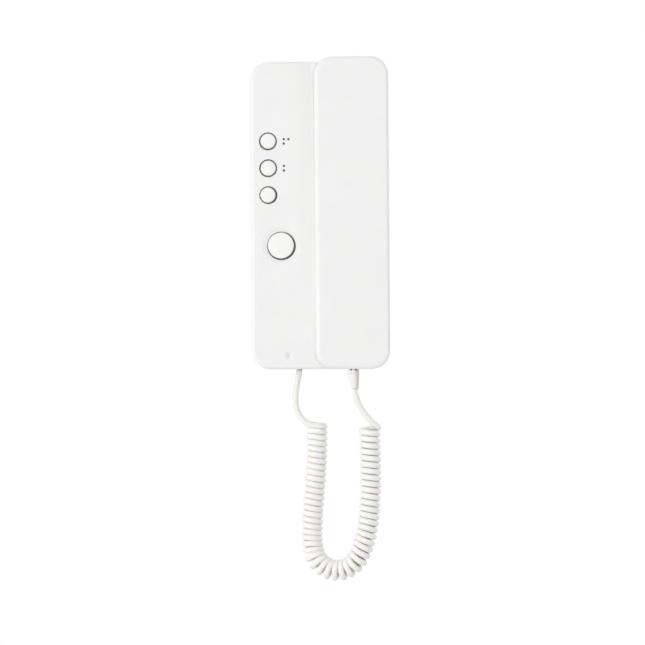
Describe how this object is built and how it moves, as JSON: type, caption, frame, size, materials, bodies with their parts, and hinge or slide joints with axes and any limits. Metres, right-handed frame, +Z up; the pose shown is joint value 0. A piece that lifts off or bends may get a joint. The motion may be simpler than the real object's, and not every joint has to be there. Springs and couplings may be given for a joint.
{
  "type": "intercom handset station",
  "caption": "White wall intercom station with round keys and a long handset in its cradle, joined by a curly cord.",
  "frame": {"origin": "centre between the two wall screw holes, on the back of the wall plate", "axes": "+X to the right as seen from the front, +Y into the wall, +Z up"},
  "size_m": [0.0904, 0.042, 0.3433],
  "materials": {
    "white_abs": "satin moulded, fine grain",
    "grey_abs": "satin moulded",
    "board_green": "lacquered board",
    "steel": "zinc plated",
    "black_plastic": "moulded",
    "terminal_green": "moulded",
    "speaker_metal": "plain",
    "clear_plastic": "clear moulded",
    "lamp_green": "clear tinted",
    "light_guide": "frosted",
    "plunger_tan": "moulded",
    "seal_rubber": "matt",
    "plug_plastic": "moulded",
    "wire_red": "insulation",
    "wire_blue": "insulation",
    "cord_jacket": "soft satin jacket"
  },
  "bodies": {
    "base": {"wall_plate": "grey_abs", "front_cover": "white_abs", "circuit_board": "board_green", "board_screws": "steel", "board_components": "black_plastic", "terminal_block": "terminal_green", "terminal_screws": "steel", "key_switches": "black_plastic", "call_speaker": "speaker_metal", "hook_microswitch": "black_plastic", "base_jack": "black_plastic", "base_plug": "clear_plastic", "indicator_led": "lamp_green", "light_pipe": "light_guide", "hook_pivot_pin": "steel", "hook_spring": "steel", "cover_screw": "steel", "cord_tail_base": "cord_jacket", "cord_curls": "cord_jacket", "cord_tail_handset": "cord_jacket"},
    "handset": {"handset_front_shell": "white_abs", "handset_rear_shell": "white_abs", "receiver_capsule": "speaker_metal", "receiver_gasket": "seal_rubber", "microphone_capsule": "speaker_metal", "microphone_boot": "seal_rubber", "handset_jack": "black_plastic", "handset_plug": "plug_plastic", "handset_screws": "steel", "receiver_wires": "wire_red", "microphone_wires": "wire_blue"},
    "hook": {"hook_lever": "white_abs"},
    "upper_push": {"upper_key": "white_abs", "upper_plunger": "plunger_tan"},
    "middle_push": {"middle_key": "white_abs", "middle_plunger": "plunger_tan"},
    "lower_push": {"lower_key": "white_abs", "lower_plunger": "plunger_tan"},
    "door_push": {"door_key": "white_abs", "door_plunger": "plunger_tan"}
  },
  "joints": [
    {"name": "handset_lift", "type": "slide", "parent": "base", "child": "handset", "axis": [0, -1, 0], "range_m": [0, 0.05], "deforming": ["cord_tail_base", "cord_curls", "cord_tail_handset"]},
    {"name": "hook_swing", "type": "hinge", "parent": "base", "child": "hook", "pos_m": [0.02085, -0.0135, -0.046], "axis": [1, 0, 0], "range_deg": [0, 8], "deforming": ["hook_spring"]},
    {"name": "upper_press", "type": "slide", "parent": "base", "child": "upper_push", "axis": [0, 1, 0], "range_m": [0, 0.0012], "stiffness_N_per_m": 300},
    {"name": "middle_press", "type": "slide", "parent": "base", "child": "middle_push", "axis": [0, 1, 0], "range_m": [0, 0.0012], "stiffness_N_per_m": 300},
    {"name": "lower_press", "type": "slide", "parent": "base", "child": "lower_push", "axis": [0, 1, 0], "range_m": [0, 0.0012], "stiffness_N_per_m": 300},
    {"name": "door_press", "type": "slide", "parent": "base", "child": "door_push", "axis": [0, 1, 0], "range_m": [0, 0.0012], "stiffness_N_per_m": 300}
  ],
  "couplings": [
    {"joint": "hook_swing", "follows": "handset_lift", "rad_per_m": 2.7}
  ]
}
